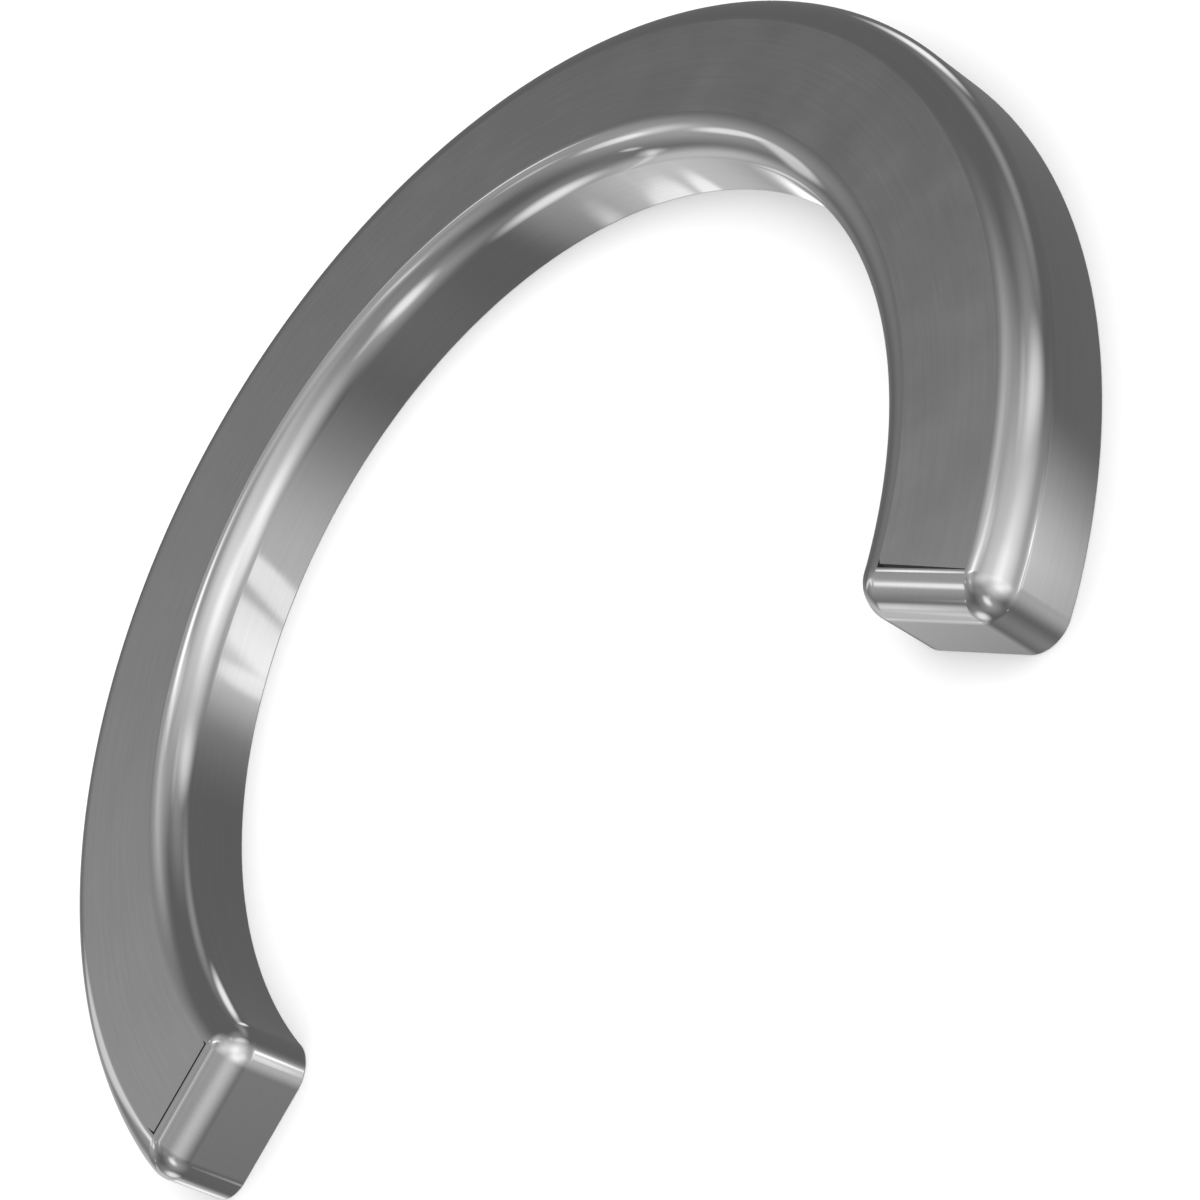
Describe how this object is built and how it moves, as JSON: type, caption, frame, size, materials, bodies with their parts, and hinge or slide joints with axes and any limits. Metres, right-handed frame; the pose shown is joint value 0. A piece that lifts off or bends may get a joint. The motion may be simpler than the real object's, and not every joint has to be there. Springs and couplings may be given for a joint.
{
  "type": "horseshoe",
  "caption": "Plain horseshoe: a flat steel bar bent to an open arc, rounded on the ground-side edges and heels, with a flush facing strip.",
  "frame": {"origin": "middle of the outline's box, on the flat hoof face", "axes": "+X towards the right branch, +Y towards the toe, +Z out of the ground face"},
  "size_m": [0.1334, 0.1044, 0.01],
  "materials": {
    "polished_steel": "polished",
    "ground_steel": "finely ground, semi-gloss"
  },
  "bodies": {
    "root": {"shoe_bar": "polished_steel", "face_strip": "ground_steel"}
  },
  "joints": []
}
